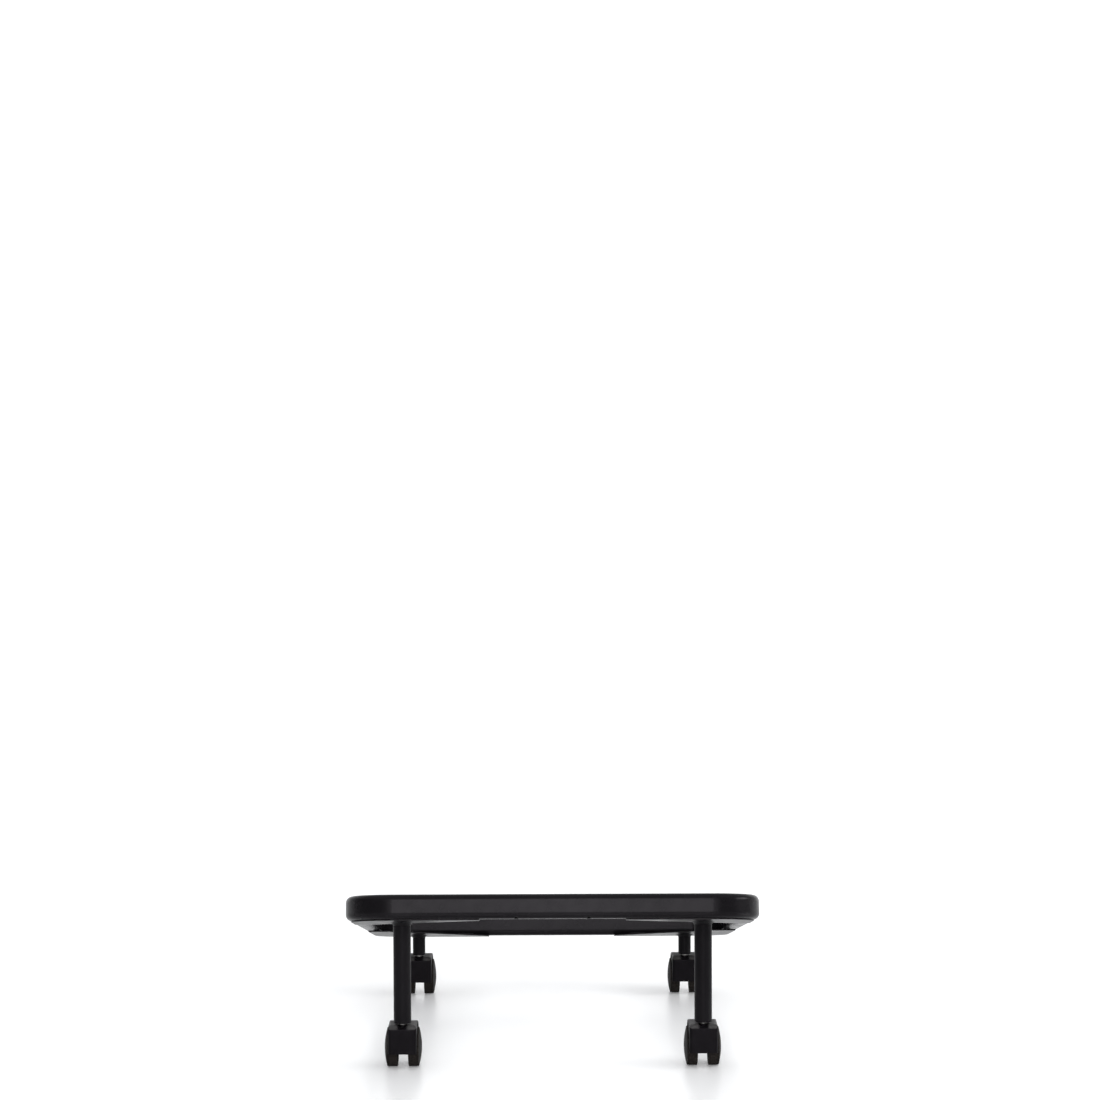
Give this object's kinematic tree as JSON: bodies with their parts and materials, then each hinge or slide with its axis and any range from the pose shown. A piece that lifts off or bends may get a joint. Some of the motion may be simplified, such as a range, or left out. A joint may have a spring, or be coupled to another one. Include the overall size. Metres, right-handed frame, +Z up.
{
  "type": "stacking trolley",
  "caption": "Low black dolly for stacked seats: a sloping bent-tube rim with sheet corner plates, long front and short rear posts, and swivelling twin-wheel castors.",
  "frame": {"origin": "on the floor, under the middle of the rim", "axes": "+Z up, +X to the right seen from the high front end, +Y towards the low rear end"},
  "size_m": [0.526, 0.5886, 0.2359],
  "materials": {
    "black_paint": "satin",
    "black_nylon": "satin",
    "wheel_nylon": "satin",
    "zinc_steel": "bright zinc"
  },
  "bodies": {
    "frame": {"rim_tube": "black_paint", "post_welds": "black_paint", "grip_rings": "zinc_steel", "snap_rings": "zinc_steel", "front_left_plate": "black_paint", "front_left_post": "black_paint", "front_left_socket": "black_nylon", "front_left_stem": "zinc_steel", "front_right_plate": "black_paint", "front_right_post": "black_paint", "front_right_socket": "black_nylon", "front_right_stem": "zinc_steel", "rear_left_plate": "black_paint", "rear_left_post": "black_paint", "rear_left_socket": "black_nylon", "rear_left_stem": "zinc_steel", "rear_right_plate": "black_paint", "rear_right_post": "black_paint", "rear_right_socket": "black_nylon", "rear_right_stem": "zinc_steel"},
    "front_left_castor": {"front_left_hood": "black_nylon", "front_left_axle": "zinc_steel"},
    "front_left_castor_left_wheel": {"front_left_castor_left_wheel": "wheel_nylon"},
    "front_left_castor_right_wheel": {"front_left_castor_right_wheel": "wheel_nylon"},
    "front_right_castor": {"front_right_hood": "black_nylon", "front_right_axle": "zinc_steel"},
    "front_right_castor_left_wheel": {"front_right_castor_left_wheel": "wheel_nylon"},
    "front_right_castor_right_wheel": {"front_right_castor_right_wheel": "wheel_nylon"},
    "rear_left_castor": {"rear_left_hood": "black_nylon", "rear_left_axle": "zinc_steel"},
    "rear_left_castor_left_wheel": {"rear_left_castor_left_wheel": "wheel_nylon"},
    "rear_left_castor_right_wheel": {"rear_left_castor_right_wheel": "wheel_nylon"},
    "rear_right_castor": {"rear_right_hood": "black_nylon", "rear_right_axle": "zinc_steel"},
    "rear_right_castor_left_wheel": {"rear_right_castor_left_wheel": "wheel_nylon"},
    "rear_right_castor_right_wheel": {"rear_right_castor_right_wheel": "wheel_nylon"}
  },
  "joints": [
    {"name": "front_left_swivel", "type": "hinge", "parent": "frame", "child": "front_left_castor", "pos_m": [-0.1925, -0.21999, 0.058], "axis": [0, 0, 1], "continuous": true},
    {"name": "front_left_left_roll", "type": "hinge", "parent": "front_left_castor", "child": "front_left_castor_left_wheel", "pos_m": [-0.1995, -0.20199, 0.025], "axis": [1, 0, 0], "continuous": true},
    {"name": "front_left_right_roll", "type": "hinge", "parent": "front_left_castor", "child": "front_left_castor_right_wheel", "pos_m": [-0.1855, -0.20199, 0.025], "axis": [1, 0, 0], "continuous": true},
    {"name": "front_right_swivel", "type": "hinge", "parent": "frame", "child": "front_right_castor", "pos_m": [0.1925, -0.21999, 0.058], "axis": [0, 0, 1], "continuous": true},
    {"name": "front_right_left_roll", "type": "hinge", "parent": "front_right_castor", "child": "front_right_castor_left_wheel", "pos_m": [0.1855, -0.20199, 0.025], "axis": [1, 0, 0], "continuous": true},
    {"name": "front_right_right_roll", "type": "hinge", "parent": "front_right_castor", "child": "front_right_castor_right_wheel", "pos_m": [0.1995, -0.20199, 0.025], "axis": [1, 0, 0], "continuous": true},
    {"name": "rear_left_swivel", "type": "hinge", "parent": "frame", "child": "rear_left_castor", "pos_m": [-0.1925, 0.21999, 0.058], "axis": [0, 0, 1], "continuous": true},
    {"name": "rear_left_left_roll", "type": "hinge", "parent": "rear_left_castor", "child": "rear_left_castor_left_wheel", "pos_m": [-0.1995, 0.23799, 0.025], "axis": [1, 0, 0], "continuous": true},
    {"name": "rear_left_right_roll", "type": "hinge", "parent": "rear_left_castor", "child": "rear_left_castor_right_wheel", "pos_m": [-0.1855, 0.23799, 0.025], "axis": [1, 0, 0], "continuous": true},
    {"name": "rear_right_swivel", "type": "hinge", "parent": "frame", "child": "rear_right_castor", "pos_m": [0.1925, 0.21999, 0.058], "axis": [0, 0, 1], "continuous": true},
    {"name": "rear_right_left_roll", "type": "hinge", "parent": "rear_right_castor", "child": "rear_right_castor_left_wheel", "pos_m": [0.1855, 0.23799, 0.025], "axis": [1, 0, 0], "continuous": true},
    {"name": "rear_right_right_roll", "type": "hinge", "parent": "rear_right_castor", "child": "rear_right_castor_right_wheel", "pos_m": [0.1995, 0.23799, 0.025], "axis": [1, 0, 0], "continuous": true}
  ]
}
